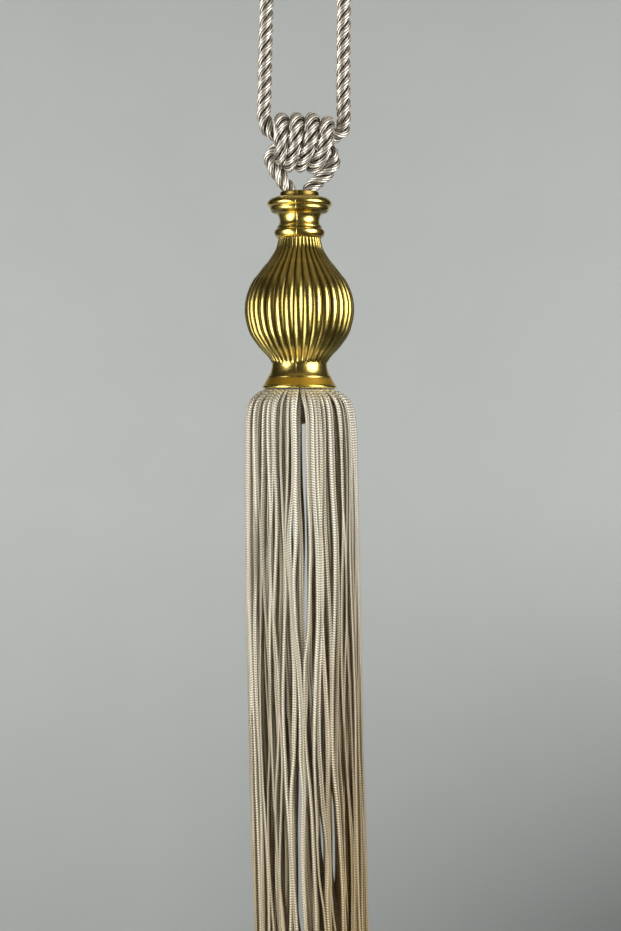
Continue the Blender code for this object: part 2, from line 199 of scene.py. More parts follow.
def strand_tubes(route, side, across, squeeze_side, squeeze_across, start):
    """The strands of a rope, as tubes of rings, and how deep in a crevice each point lies.

    A strand's middle circles the rope's middle once in each lay. Its section is the outer edge of a
    ring of touching round plies, square to the strand. Each point is then drawn in towards the
    rope's middle line by the two squeezes.
    """
    run = run_of(route)
    lay = CAD_RING_POINTS * run[-1] / round(run[-1] / CAD_STEP)
    over_ply = np.arange(PLIES * PLY_POINTS) % PLY_POINTS / PLY_POINTS - 0.5
    off_ply = over_ply * 2 * math.pi / PLIES
    reach = PLY_OFFSET * np.cos(off_ply) + np.sqrt(PLY_R**2 - (PLY_OFFSET * np.sin(off_ply)) ** 2)
    round_strand = 2 * math.pi * np.arange(PLIES * PLY_POINTS) / (PLIES * PLY_POINTS)
    tubes, tones = [], []
    for strand in range(STRANDS):
        turn = (start + 2 * math.pi * (run / lay + strand / STRANDS))[:, None]
        out = STRAND_OFFSET * (np.cos(turn) * side + np.sin(turn) * across)
        middle = route + out
        direction = unit(np.gradient(middle, axis=0))
        outward = unit(out - direction * np.sum(out * direction, axis=1, keepdims=True))
        sideways = np.cross(direction, outward)
        roll = PLY_WANDER * np.sin(run / WANDER_LENGTH + WANDER_APART * strand)
        angle = round_strand[None, :, None] + roll[:, None, None]
        section = np.cos(angle) * outward[:, None, :] + np.sin(angle) * sideways[:, None, :]
        points = middle[:, None, :] + reach[None, :, None] * section
        off = points - route[:, None, :]
        # How deep in a crevice a point lies; the finish paints shade there.
        sunk = np.clip((CREVICE_FROM - np.linalg.norm(off, axis=2) / ROPE_R) / CREVICE_DEEP, 0.0, 1.0)
        for axis, squeeze in ((side, squeeze_side), (across, squeeze_across)):
            share = np.einsum("nmk,nk->nm", off, axis)
            off = off + ((squeeze[:, None] - 1.0) * share)[:, :, None] * axis[:, None, :]
        tubes.append((route[:, None, :] + off, np.arange(PLIES * PLY_POINTS + 1) / PLY_POINTS, run))
        tones.append(sunk.ravel())
    return tubes, np.concatenate(tones)


def tube_mesh(name, tubes, finish, tones):
    """One mesh of closed tubes, with a tone at each point for its finish.

    Each tube is rings of points joined by faces, with u round it and v along it as its UV map.
    """
    points, faces, uvs = [], [], []
    first = 0
    for rings, u, v in tubes:
        count, size, _ = rings.shape
        index = first + np.arange(count * size).reshape(count, size)
        after = np.roll(index, -1, axis=1)
        quads = np.stack([index[:-1], after[:-1], after[1:], index[1:]], axis=-1)
        faces.extend(quads.reshape(-1, 4).tolist())
        u0, v0 = np.broadcast_arrays(u[None, :-1], v[:-1, None])
        u1, v1 = np.broadcast_arrays(u[None, 1:], v[1:, None])
        uvs.append(np.stack([u0, v0, u1, v0, u1, v1, u0, v1], axis=-1).reshape(-1, 2))
        faces.append(index[0, ::-1].tolist())
        faces.append(index[-1].tolist())
        uvs.append(np.column_stack([u[:-1][::-1], np.full(size, v[0])]))
        uvs.append(np.column_stack([u[:-1], np.full(size, v[-1])]))
        points.append(rings.reshape(-1, 3))
        first += count * size
    mesh = bpy.data.meshes.new(name)
    mesh.from_pydata((np.vstack(points) * MM).tolist(), [], faces)
    mesh.uv_layers.new(name="UVMap").data.foreach_set("uv", np.vstack(uvs).ravel())
    mesh.polygons.foreach_set("use_smooth", np.ones(len(faces), bool))
    mesh.attributes.new("tone", "FLOAT", "POINT").data.foreach_set("value", tones)
    mesh.materials.append(finish)
    made = bpy.data.objects.new(name, mesh)
    bpy.context.scene.collection.objects.link(made)
    return made


class Signal:
    """A shader socket that takes part in sums. An expression adds its Math nodes."""

    MIX_LOW = 6  # the Mix node's sockets for two colours and their blend
    MIX_HIGH = 7
    MIX_RESULT = 2

    def __init__(self, tree, socket=None):
        self.tree = tree
        self.socket = socket

    def node(self, kind, settings=None, sockets=None, out=0):
        """Any node: its type, its settings, which are set first, and its sockets' values or links."""
        made = self.tree.nodes.new(kind)
        for name, value in (settings or {}).items():
            setattr(made, name, value)
        for name, value in (sockets or {}).items():
            if isinstance(value, Signal):
                self.tree.links.new(value.socket, made.inputs[name])
            else:
                made.inputs[name].default_value = value
        return Signal(self.tree, made.outputs[out])

    def output(self, name):
        """Another output of the node that this signal comes from."""
        return Signal(self.tree, self.socket.node.outputs[name])

    def math(self, operation, *others):
        """One Math node on this signal and any others."""
        sockets = dict(enumerate((self, *others)))
        return self.node("ShaderNodeMath", {"operation": operation}, sockets)

    def __add__(self, other):
        return self.math("ADD", other)

    __radd__ = __add__

    def __sub__(self, other):
        return self.math("SUBTRACT", other)

    def __rsub__(self, other):
        return self.node("ShaderNodeMath", {"operation": "SUBTRACT"}, {0: other, 1: self})

    def __mul__(self, other):
        return self.math("MULTIPLY", other)

    __rmul__ = __mul__

    def __pow__(self, other):
        return self.math("POWER", other)

    def clamped(self):
        """This signal kept from 0 to 1."""
        return self.node("ShaderNodeClamp", {}, {"Value": self})

    def blend(self, low, high):
        """A colour that goes from low to high as this signal goes from 0 to 1."""
        ends = [end if isinstance(end, Signal) else (*end, 1.0) for end in (low, high)]
        sockets = {"Factor": self, self.MIX_LOW: ends[0], self.MIX_HIGH: ends[1]}
        return self.node("ShaderNodeMix", {"data_type": "RGBA"}, sockets, self.MIX_RESULT)


def new_finish(name, constants):
    """A material with its shader's steady values. Returns it, its shader and a first signal."""
    finish = bpy.data.materials.new(name)
    finish.use_nodes = True
    shader = finish.node_tree.nodes["Principled BSDF"]
    for socket, value in constants.items():
        shader.inputs[socket].default_value = value
    return finish, shader, Signal(finish.node_tree)


def plug(signal, shader, socket):
    """Links a signal to one of the shader's sockets."""
    signal.tree.links.new(signal.socket, shader.inputs[socket])


def satin_plies():
    """Ivory rayon plies with fine filaments along them, pale on the crest, with painted shade where two
    meet.
    """
    finish, shader, s = new_finish("satin_plies", {"Metallic": 0.65, "Specular IOR Level": 0.6})
    uv = s.node("ShaderNodeUVMap", {"uv_map": "UVMap"})
    round_ply = s.node("ShaderNodeSeparateXYZ", {}, {"Vector": uv})
    along = round_ply.output("Y")
    crest = (round_ply * math.pi).math("SINE").math("ABSOLUTE")
    place = s.node("ShaderNodeTexCoord", {}, {}, "Object")
    fleck = s.node("ShaderNodeTexNoise", {}, {"Vector": place, "Scale": 90.0, "Detail": 3.0})
    strip = s.node("ShaderNodeCombineXYZ", {}, {"X": round_ply * 7.0 + along * 0.5, "Y": along * 0.35})
    filament = s.node("ShaderNodeTexNoise", {}, {"Vector": strip, "Scale": 1.0, "Detail": 2.0})
    sunk = s.node("ShaderNodeAttribute", {"attribute_name": "tone"}, {}, "Fac")
    # Painted shade: the plies darken where two meet, and more deeply in the crevices between strands.
    pale = (crest**0.8 * 1.15 + filament * 0.3 - 0.2 - sunk * 1.1).clamped()
    colour = pale.blend(PLY_CREVICE_SHADE, PLY_CREST)
    toned = (fleck * 0.3).blend(colour, PLY_FLECK)
    plug(toned, shader, "Base Color")
    plug(filament * 0.2 + 0.2, shader, "Roughness")
    height = crest * 0.3 + filament * 0.7
    bump = s.node("ShaderNodeBump", {}, {"Strength": 0.5, "Distance": 0.00012, "Height": height})
    plug(bump, shader, "Normal")
    return finish


rows = np.vstack(
    [
        [row[1:] for row in LEFT_TAIL],
        core_pass(-1),
        [row[1:] for row in RIGHT_LEG],
        arch(),
        [row[1:] for row in LEFT_LEG],
        core_pass(1),
        [row[1:] for row in RIGHT_TAIL],
    ]
)
ivory_plies = satin_plies()
fine = smooth_route(rows, RING_STEP)
rope_route, rope_squeeze = fine[:, :3], fine[:, 3]
side, across = carried_frames(rope_route)
tubes, sunk = strand_tubes(rope_route, side, across, rope_squeeze, rope_squeeze, ROPE_START)
rope = tube_mesh("rope_length", tubes, ivory_plies, sunk)
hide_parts("rope")
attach(rope, "root")

# Knot. A second length of the same rope is wound three and three quarter times round the two that
# cross inside it. Its turns are pressed together below, and both its ends are tucked in.
KNOT_DEPTH = 11.6
KNOT_HEIGHT = 11.4
KNOT_PRESSED = 0.98  # squeeze outwards from the barrel
KNOT_READINGS = 600
KNOT_SOFTNESS = 31  # how many of the winding's readings are averaged, so that it turns smoothly
# Columns: where, x from the hang point, degrees round the barrel (0 front, 90 top, 180 back, -90
# bottom), squeeze along the barrel, the turn's reach, and how far it is lifted.
KNOT_TURNS = [
    ("tucked start", 11.3, 216.0, 0.92, 1.00, -0.4),
    ("fourth back", 11.3, 180.0, 0.99, 1.00, -0.8),
    ("fourth top", 11.1, 90.0, 1.03, 0.93, -0.9),
    ("fourth front", 10.6, 0.0, 0.99, 1.00, -0.9),
    ("fourth low front", 7.6, -45.0, 0.98, 1.00, -0.9),
    ("fourth bottom", 3.5, -90.0, 0.92, 1.00, -0.7),
    ("third back", 3.4, -180.0, 0.97, 1.00, 0.0),
    ("third top", 3.6, -270.0, 1.04, 1.00, 0.0),
    ("third front", 3.1, -360.0, 0.97, 1.00, 0.0),
    ("third low front", 0.3, -405.0, 0.87, 1.00, 0.0),
    ("third bottom", -2.8, -450.0, 0.84, 1.00, 0.0),
    ("second back", -3.9, -540.0, 0.97, 1.00, 0.0),
    ("second top", -4.1, -630.0, 1.04, 1.00, 0.0),
    ("second front", -4.4, -720.0, 0.97, 1.00, 0.0),
    ("second low front", -6.2, -765.0, 0.87, 1.00, 0.0),
    ("second bottom", -8.6, -810.0, 0.82, 1.00, 0.0),
    ("first back", -11.0, -900.0, 0.92, 1.00, 0.0),
    ("first top", -11.8, -990.0, 1.04, 1.00, 0.0),
    ("first front", -12.1, -1080.0, 0.97, 1.00, 0.0),
    ("tucked end", -11.6, -1150.0, 0.90, 0.90, 0.0),
]


def winding(step):
    """The wound length's middle line, its outward direction round the barrel, and its squeeze."""
    table = np.array([turn[1:] for turn in KNOT_TURNS])[::-1]
    degrees = np.linspace(table[-1, 1], table[0, 1], KNOT_READINGS)
    soft = np.hanning(KNOT_SOFTNESS) / np.hanning(KNOT_SOFTNESS).sum()
    margin = KNOT_SOFTNESS // 2
    read = [np.interp(degrees, table[:, 1], table[:, k]) for k in (0, 2, 3, 4)]
    x, squeeze, reach, lift = (np.convolve(np.pad(c, margin, mode="edge"), soft, mode="valid") for c in read)
    angle = np.radians(degrees)
    y = -KNOT_DEPTH * reach * np.cos(angle)
    z = KNOT_Z + lift + KNOT_HEIGHT * reach * np.sin(angle)
    readings = np.column_stack([x, y, z, squeeze, -np.cos(angle), np.sin(angle)])
    run = run_of(readings[:, :3])
    even = np.linspace(0.0, run[-1], round(run[-1] / step) + 1)
    return np.stack([np.interp(even, run, column) for column in readings.T], axis=1)


wound = winding(RING_STEP)
wound_route = wound[:, :3]
along = unit(np.gradient(wound_route, axis=0))
outward = np.column_stack([np.zeros(len(wound)), wound[:, 4:]])
outward = unit(outward - along * np.sum(outward * along, axis=1, keepdims=True))
pressed = np.full(len(wound), KNOT_PRESSED)
tubes, sunk = strand_tubes(wound_route, outward, np.cross(along, outward), pressed, wound[:, 3], 0.0)
knot = tube_mesh("knot_winding", tubes, ivory_plies, sunk)
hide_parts("knot")
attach(knot, "root")

# Head. One hollow moulding plated in bright gold: collar rings over a bulb of 34 reeds, on a flared
# base. Its mould parts down the front and back, a little to the left, where a thin seam is left.
HEAD_X = -2.9
HEAD_TOP_Z = -123.15
REEDS = 34
SEAM = math.radians(-90.0 - 6.2)  # where round the head the front seam runs
REED_ROUNDNESS = 0.5  # a groove's depth over half a reed's width
SEAM_HEIGHT = 0.07
COLLAR_STEP = 0.38
BULB_STEP = 0.62
BULB_RINGS = 130
BASE_STEP = 0.4
FLARE_FROM = 92.7  # the brushed flare, by its depth under the rim
FLARE_TO = 96.4
BRUSH_EDGE = 4.0  # how sharply the brushing starts and ends
PLATING_DEEP = (0.69, 0.53, 0.14)
PLATING_PALE = (0.77, 0.62, 0.19)
BRUSHED_GOLD = (0.95, 0.60, 0.08)
GROOVE_SHADE = (0.07, 0.037, 0.004)
# Each run of the profile is smooth, with a corner at its ends. Columns: run, how deep the painted shade
# on it is, and its points as radius and height under the rim.
COLLAR_RUNS = [
    ("bore", 0.6, [(8.3, -13.2), (8.3, -6.0), (8.35, -2.6), (8.7, -1.0), (9.15, -0.2)]),
    ("rim", 0.0, [(9.15, -0.2), (9.4, 0.0), (9.65, -0.25)]),
    ("band", 0.86, [(9.65, -0.25), (9.72, -0.8), (9.6, -2.1)]),
    ("shelf", 0.5, [(9.6, -2.1), (11.2, -2.4), (12.3, -2.7)]),
    ("flange", 0.0, [(12.3, -2.7), (14.3, -3.4), (15.6, -4.4), (16.2, -5.6), (16.1, -6.6), (15.2, -7.4)]),
    ("nick", 0.5, [(15.2, -7.4), (14.6, -7.7)]),
    ("low bead", 0.0, [(14.6, -7.7), (14.85, -8.2), (14.8, -8.9), (14.3, -9.6)]),
    ("step", 0.85, [(14.3, -9.6), (13.6, -10.1), (12.0, -10.6)]),
    ("cove", 0.0, [(12.0, -10.6), (10.9, -11.7), (10.2, -13.1), (10.0, -14.9), (10.5, -16.7)]),
    ("thin bead", 0.1, [(10.5, -16.7), (10.85, -16.8), (11.05, -17.2), (11.0, -17.6), (11.1, -17.8)]),
    ("fillet", 0.75, [(11.1, -17.8), (11.3, -18.3), (11.7, -18.6)]),
    ("ring", 0.0, [(11.7, -18.6), (12.3, -19.1), (12.65, -20.2), (12.3, -21.8), (11.2, -22.8)]),
    ("underside", 0.8, [(11.2, -22.8), (10.4, -22.95)]),
]
# The crest of a reed, from the collar down: radius and height under the rim.
BULB = [
    (10.48, -22.9),
    (10.9, -25.0),
    (12.1, -28.9),
    (15.2, -33.9),
    (17.3, -36.4),
    (19.3, -38.9),
    (21.15, -41.4),
    (23.15, -43.9),
    (25.6, -48.9),
    (27.0, -53.9),
    (27.4, -57.4),
    (27.3, -61.4),
    (26.35, -66.4),
    (24.6, -71.4),
    (21.15, -76.4),
    (19.05, -78.9),
    (16.6, -81.4),
    (15.35, -82.9),
    (14.35, -84.4),
    (13.3, -86.2),
]
BASE_RUNS = [
    ("cove", 0.0, [(14.2, -80), (13.95, -83), (13.8, -86.2), (14.1, -88.2), (14.75, -90.3), (15.55, -91.9)]),
    ("ledge", 0.3, [(15.55, -91.9), (15.85, -92.2), (15.75, -92.6)]),
    ("flare", 0.1, [(15.75, -92.6), (16.3, -93.5), (17.2, -95.1), (18.05, -96.5)]),
    ("lip", 0.0, [(18.05, -96.5), (18.5, -96.8), (18.6, -97.4), (18.2, -98.0)]),
    ("recess", 0.8, [(18.2, -98.0), (16.9, -98.0), (16.2, -96.5), (13.6, -92.0), (12.4, -89.0)]),
]
REED_SPOTS = np.array([-1.0, -0.86, -0.62, -0.36, -0.12, 0.12, 0.36, 0.62, 0.86])  # places across a reed


def turned_profile(runs, step):
    """Radius, height and tone along a turned profile, smooth in each run, with a corner between runs."""
    parts = []
    for _, tone, points in runs:
        curve = smooth_route(points, step)
        parts.append(np.column_stack([curve, np.full(len(curve), tone)]))
    return np.vstack([parts[0], *[part[1:] for part in parts[1:]]])


def reed_drop(half_width, spot):
    """How far a reed's round back falls towards its grooves: a circle's arc over the reed's width."""
    deep = REED_ROUNDNESS * half_width
    arc = (half_width**2 + deep**2) / (2 * deep)
    return arc - np.sqrt(arc**2 - (spot * half_width) ** 2)


def head_rings():
    """Rings of the moulding, their turn and height, and each point's painted shade: on the bulb, how deep in
    a groove it lies.

    On the bulb a ring's radius is the crest's less the reed's fall, or the base's own where that is
    larger, so that the reeds end in points over the base's cove.
    """
    collar = turned_profile(COLLAR_RUNS, COLLAR_STEP)
    bulb = smooth_route(BULB, BULB_STEP)
    base = turned_profile(BASE_RUNS, BASE_STEP)
    turn = (np.arange(REEDS)[:, None] + (REED_SPOTS[None, :] + 1) / 2).ravel() / REEDS
    spot = np.tile(REED_SPOTS, REEDS)
    angle = SEAM - 2 * math.pi * turn
    on_seam = (np.abs(spot) == 1.0) & np.isin(np.arange(len(spot)) // len(REED_SPOTS), (0, REEDS // 2))

    def plain(profile):
        return profile[:, :1] + SEAM_HEIGHT * on_seam[None, :], profile[:, 1]

    cove_top = np.searchsorted(-base[:, 1], -bulb[-1, 1])
    shared = np.linspace(bulb[0, 1], bulb[-1, 1], BULB_RINGS)
    crest = np.interp(-shared, -bulb[:, 1], bulb[:, 0])[:, None]
    fall = reed_drop(math.pi * crest / REEDS, spot[None, :])
    under = np.interp(-shared, -base[:cove_top, 1], base[:cove_top, 0], left=0.0)[:, None]
    reeded = np.maximum(crest - fall, under + SEAM_HEIGHT * on_seam[None, :]), shared
    radii, heights = zip(plain(collar), reeded, plain(base[cove_top:]), strict=True)
    radius, height = np.vstack(radii), np.concatenate(heights)
    rings = np.empty((*radius.shape, 3))
    rings[:, :, 0] = HEAD_X + radius * np.cos(angle)
    rings[:, :, 1] = radius * np.sin(angle)
    rings[:, :, 2] = HEAD_TOP_Z + height[:, None]
    grooves = np.clip(fall / fall.max(axis=1, keepdims=True), 0.0, 1.0)
    tones = [np.repeat(part[:, 2:], len(angle), axis=1) for part in (collar, base[cove_top:])]
    return rings, turn, height, np.vstack([tones[0], grooves, tones[1]]).ravel()


def gold_plating():
    """Bright gold plating with faint orange peel and a soft, uneven gloss, and painted shade in its grooves
    and recesses.

    The flare at the foot is brushed, so its gloss is wider.
    """
    finish, shader, s = new_finish("gold_plating", {"Metallic": 1.0})
    hollow = s.node("ShaderNodeAttribute", {"attribute_name": "tone"}, {}, "Fac")
    place = s.node("ShaderNodeTexCoord", {}, {}, "Object")
    cloud = s.node("ShaderNodeTexNoise", {}, {"Vector": place, "Scale": 60.0, "Detail": 4.0})
    peel = s.node("ShaderNodeTexNoise", {}, {"Vector": place, "Scale": 900.0, "Detail": 2.0})
    uv = s.node("ShaderNodeUVMap", {"uv_map": "UVMap"})
    under_rim = s.node("ShaderNodeSeparateXYZ", {}, {"Vector": uv}, "Y") * -1.0
    below_ledge = ((under_rim - FLARE_FROM) * BRUSH_EDGE).clamped()
    above_lip = ((FLARE_TO - under_rim) * BRUSH_EDGE).clamped()
    brushed = below_ledge * above_lip
    plated = cloud.blend(PLATING_DEEP, PLATING_PALE)
    toned = brushed.blend(plated, BRUSHED_GOLD)
    # Painted shade: the grooves between reeds and the recessed runs of the profile darken towards deep
    # brown.
    colour = (hollow * 0.95).blend(toned, GROOVE_SHADE)
    plug(colour, shader, "Base Color")
    gloss = cloud * 0.14 + peel * 0.06 + hollow * 0.1 + brushed * 0.14 + 0.15
    plug(gloss.clamped(), shader, "Roughness")
    height = cloud * 0.5 + peel * 0.5
    bump = s.node("ShaderNodeBump", {}, {"Strength": 0.04, "Distance": 0.0002, "Height": height})
    plug(bump, shader, "Normal")
    return finish


rings, turn, height, hollow = head_rings()
head = tube_mesh("head_moulding", [(rings, np.append(turn, 1.0), height)], gold_plating(), hollow)
# The edges that run down a groove, from ring to ring, are shaded sharp.
ends = np.empty(2 * len(head.data.edges), int)
head.data.edges.foreach_get("vertices", ends)
column = ends.reshape(-1, 2) % rings.shape[1]
in_groove = (column[:, 0] == column[:, 1]) & (column[:, 0] % len(REED_SPOTS) == 0)
head.data.edges.foreach_set("use_edge_sharp", in_groove)
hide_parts("head")
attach(head, "root")

# Skirt. Flat cords of fine twisted rayon in four rows, their tops bound on a wound root that is glued
# up into the head's base. They bow out under the lip and hang down, a little to the right.
HEAD_LENGTH = 98.0
SKIRT_LENGTH = 300.0
# Columns: row, how many, radius at the root, radius of the hang, depth of the root under the lip,
# the turn of the whole row in degrees, and how deep the painted shade on its yarn is.
CORD_ROWS = [
    ("outer", 64, 15.4, 27.6, 0.3, 3.0, 0.0),
    ("second", 58, 13.2, 25.3, 1.6, 9.0, 0.05),
    ("third", 40, 10.8, 22.2, 2.6, 14.0, 0.2),
    ("inner", 18, 7.9, 16.4, 3.2, 4.0, 0.35),
]
CORD_WIDTH = 2.25
CORD_THICK = 1.15
CORD_POINTS = 8
YARN_PITCH = 1.25
CORD_STEP = 1.6
# The skirt's middle, from the head's: depth under the lip, and how far it lies to the right.
LEAN = [(0.0, 0.0), (24.0, 0.6), (42.0, 0.9), (116.0, 2.0), (196.0, 3.5), (272.0, 6.2), (310.0, 7.9)]
JITTER = 1.35  # how far a cord may stand from its even place
SWAY = 1.5  # how far it may go to and fro
SWAY_LENGTH = 27.0
SWAY_VARIETY = 0.29
SWAY_START = 12.0
SWAY_FULL = 72.0
UNEVEN_ENDS = 3.5
CORD_RISE = 1.6  # how far a cord goes up into its binding
FIRST_TURN = math.radians(75.0)  # of its flat side, soon after the binding
FIRST_TURN_OVER = 8.0
CORD_TURN = math.radians(170.0)  # and from there down to its end
CORD_TURN_START = 10.0
TINT_VARIETY = 0.16
OVAL_POWER = 0.8  # under 1, so that a cord's section is squarer than an ellipse
QUICK_SPREAD = 0.8  # share of a cord's way out that it goes close under its root
QUICK_DEPTH = 3.4
SLOW_SPREAD = 0.2
SLOW_DEPTH = 12.0
SPREAD_ABOVE = 0.3  # how far above its root a cord starts on its way out
CORD_CREAM = (1.0, 0.98, 0.87)
LOW_SHADED_CREAM = (0.50, 0.43, 0.29)
TINT_AND_SHADE_BROWN = (0.45, 0.31, 0.12)
SIDE_SHADE_BROWN = (0.44, 0.33, 0.165)
YARN_GROOVE_SHADE = (0.18, 0.13, 0.06)
LOWER_FROM_Z = -0.24  # metres, where the painted shade on the yarn starts on its way down
LOWER_RISE = 3.6  # share of that darkening gained in each metre
CORD_SHADE_FROM_X = 0.006  # metres, where the painted shade on the right side starts
CORD_SHADE_RISE = 120.0
# Places where the light wall shows between the cords. Columns: where, x from the hang point, depth
# under the lip from, to, and how far the cords are parted.
PARTINGS = [
    ("middle", -0.3, -4.0, 136.0, 1.65),
    ("left of the middle", -6.1, 48.0, 96.0, 1.3),
    ("low middle", -2.2, 176.0, 292.0, 1.7),
    ("low right", 8.5, 202.0, 254.0, 1.4),
    ("low far right", 14.0, 184.0, 266.0, 1.3),
]
PARTING_EASE = 22.0  # over which a parting opens, and closes again
# What differs from cord to cord, each with a fixed draw of its own.
DRAWS = {"place": 1, "end": 2, "wave length": 3, "wave start": 4, "turn": 5, "first turn": 6, "tint": 7}
SCATTER = (12.9898, 78.233, 43758.5453)  # uneven numbers, for the cord, for the draw and for the sine


def unrest(index, what):
    """A fixed number from -1 to 1 for each cord: the fraction of a large sine, doubled, less one."""
    value = np.sin(index * SCATTER[0] + DRAWS[what] * SCATTER[1]) * SCATTER[2]
    return 2.0 * (value - np.floor(value)) - 1.0


def spread_share(depth):
    """How much of its way out a cord has gone, at a depth under its root: one less two decays."""
    return 1.0 - QUICK_SPREAD * np.exp(-depth / QUICK_DEPTH) - SLOW_SPREAD * np.exp(-depth / SLOW_DEPTH)


def cord_tubes(first_index, row):
    """The cords of one row: a flat oval carried down each cord's middle line, slowly turning.

    The line stands evenly round the row, with a little jitter. Going down it spreads from the root's
    radius to the hang's, sways as a sine, follows the skirt's lean and keeps out of each parting.
    """
    _, count, root_r, hang_r, root_depth, turn, toned = row
    index = (first_index + np.arange(count))[:, None]
    end = SKIRT_LENGTH - root_depth + UNEVEN_ENDS * unrest(index, "end")
    share = np.linspace(0.0, 1.0, round(SKIRT_LENGTH / CORD_STEP))[None, :]
    depth = -CORD_RISE + (end + CORD_RISE) * share
    spread = spread_share(np.maximum(depth, -SPREAD_ABOVE))
    radius = root_r + (hang_r - root_r) * spread
    free = np.clip((depth - SWAY_START) / (SWAY_FULL - SWAY_START), 0.0, 1.0)
    wave_length = SWAY_LENGTH * (1.0 + SWAY_VARIETY * unrest(index, "wave length"))
    wave = np.sin(depth / wave_length + math.pi * unrest(index, "wave start"))
    angle = math.radians(turn) + 2 * math.pi * np.arange(count)[:, None] / count
    angle = angle + (JITTER * unrest(index, "place") * np.maximum(spread, 0.0) + SWAY * free * wave) / hang_r
    under_lip = root_depth + depth
    x = HEAD_X + radius * np.cos(angle) + np.interp(under_lip, *zip(*LEAN, strict=True))
    for _, line, first, last, gap in PARTINGS:
        ease = np.clip(np.minimum(under_lip - first, last - under_lip) / PARTING_EASE, 0.0, 1.0)
        ease = ease * ease * (3.0 - 2.0 * ease)
        hand = np.sign(np.sum(ease * (x - line), axis=1, keepdims=True))
        off = hand * (x - line)
        x = x + hand * ease * 0.5 * (np.sqrt(off**2 + 4.0 * gap**2) - off)
    middle = np.stack([x, radius * np.sin(angle), HEAD_TOP_Z - HEAD_LENGTH - under_lip], axis=-1)
    down = unit(np.gradient(middle, axis=1))
    flat = np.stack([-np.sin(angle), np.cos(angle), np.zeros_like(angle)], axis=-1)
    flat = unit(flat - down * np.sum(flat * down, axis=-1, keepdims=True))
    face = np.cross(down, flat)
    turned = CORD_TURN * unrest(index, "turn") * np.maximum(0.0, depth - CORD_TURN_START) / SKIRT_LENGTH
    turned = turned + FIRST_TURN * unrest(index, "first turn") * np.clip(depth / FIRST_TURN_OVER, 0.0, 1.0)
    wide = np.cos(turned)[..., None] * flat + np.sin(turned)[..., None] * face
    thin = np.cross(down, wide)
    across = np.linspace(0.0, 2 * math.pi, CORD_POINTS, endpoint=False)
    oval_wide = 0.5 * CORD_WIDTH * np.sign(np.cos(across)) * np.abs(np.cos(across)) ** OVAL_POWER
    oval_thin = 0.5 * CORD_THICK * np.sin(across)
    rings = (
        middle[:, :, None, :]
        + oval_wide[None, None, :, None] * wide[:, :, None, :]
        + oval_thin[None, None, :, None] * thin[:, :, None, :]
    )
    u = np.linspace(0.0, 1.0, CORD_POINTS + 1)
    tubes = [(rings[k], u if k % 2 else 1.0 - u, depth[k]) for k in range(count)]
    # A row's toned share is painted shade, deeper for the inner rows; each cord adds its own tint.
    tones = np.broadcast_to(toned + TINT_VARIETY * unrest(index, "tint")[:, :, None], rings.shape[:3])
    return tubes, tones.ravel()


def twisted_cord():
    """Fine twisted rayon: slanting turns of yarn, pale on top, with painted shade between them.

    Each cord has its own tint. Painted shade also darkens the cords' sides, the inner rows, and the yarn
    low down, most of all low on the right.
    """
    finish, shader, s = new_finish("twisted_cord", {"Metallic": 0.5, "Specular IOR Level": 0.6})
    uv = s.node("ShaderNodeUVMap", {"uv_map": "UVMap"})
    round_cord = s.node("ShaderNodeSeparateXYZ", {}, {"Vector": uv})
    along = round_cord.output("Y")
    yarn = (along * (math.pi / YARN_PITCH) + round_cord * (2 * math.pi)).math("SINE").math("ABSOLUTE")
    face = (round_cord * (2 * math.pi)).math("SINE").math("ABSOLUTE")
    place = s.node("ShaderNodeTexCoord", {}, {}, "Object")
    spot = s.node("ShaderNodeSeparateXYZ", {}, {"Vector": place})
    # Painted shade darkens the yarn on its way down, and most of all low on the right.
    lower = ((spot.output("Z") - LOWER_FROM_Z) * -LOWER_RISE).clamped()
    low_right_shade = ((spot - CORD_SHADE_FROM_X) * CORD_SHADE_RISE).clamped() * lower
    tint = s.node("ShaderNodeAttribute", {"attribute_name": "tone"}, {}, "Fac")
    cloud = s.node("ShaderNodeTexNoise", {}, {"Vector": place, "Scale": 45.0, "Detail": 3.0})
    pale = (lower**1.5).blend(CORD_CREAM, LOW_SHADED_CREAM)
    # Each cord's own tint, plus painted shade on the inner rows and low on the right.
    tinted_and_shaded = (tint + cloud * 0.24 + low_right_shade * 0.6 - 0.06).clamped().blend(pale, TINT_AND_SHADE_BROWN)
    # Painted shade on the cords' sides.
    sides = (1.0 - face**0.4).clamped().blend(tinted_and_shaded, SIDE_SHADE_BROWN)
    # Painted shade between the turns of yarn.
    colour = (1.05 - yarn * 1.35).clamped().blend(sides, YARN_GROOVE_SHADE)
    plug(colour, shader, "Base Color")
    plug(cloud * 0.2 + 0.25, shader, "Roughness")
    bump = s.node("ShaderNodeBump", {}, {"Strength": 0.9, "Distance": 0.0003, "Height": yarn})
    plug(bump, shader, "Normal")
    return finish


cream_cord = twisted_cord()
first_index = 0
row_pieces = {}
for row in CORD_ROWS:
    row_tubes, row_tones = cord_tubes(first_index, row)
    row_pieces[row[0]] = tube_mesh(f"skirt_{row[0]}_cords", row_tubes, cream_cord, row_tones)
    first_index += row[1]
for piece in row_pieces.values():
    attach(piece, "root")
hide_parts("skirt")

# Root. The cords' tops are whipped round with the same yarn, and the end of the head's core shows
# as a rounded tip in the hollow under them.
ROOT_STEP = 0.5
ROOT_POINTS = 72
# Columns: run, how deep the painted shade on it is (full on the whipping, none on the core's tip), and its
# points as radius and height under the head's rim.
ROOT_RUNS = [
    ("top", 1.0, [(0.5, -89.35), (6.0, -89.35), (12.0, -89.35)]),
    ("side", 1.0, [(12.0, -89.35), (12.9, -92.1), (14.7, -96.6), (14.7, -98.4)]),
    ("underside", 1.0, [(14.7, -98.4), (12.8, -100.3), (8.4, -102.0), (5.6, -103.2)]),
    ("core", 0.0, [(5.6, -103.2), (5.2, -111.2), (4.4, -114.0), (2.8, -115.6), (0.4, -116.2)]),
]

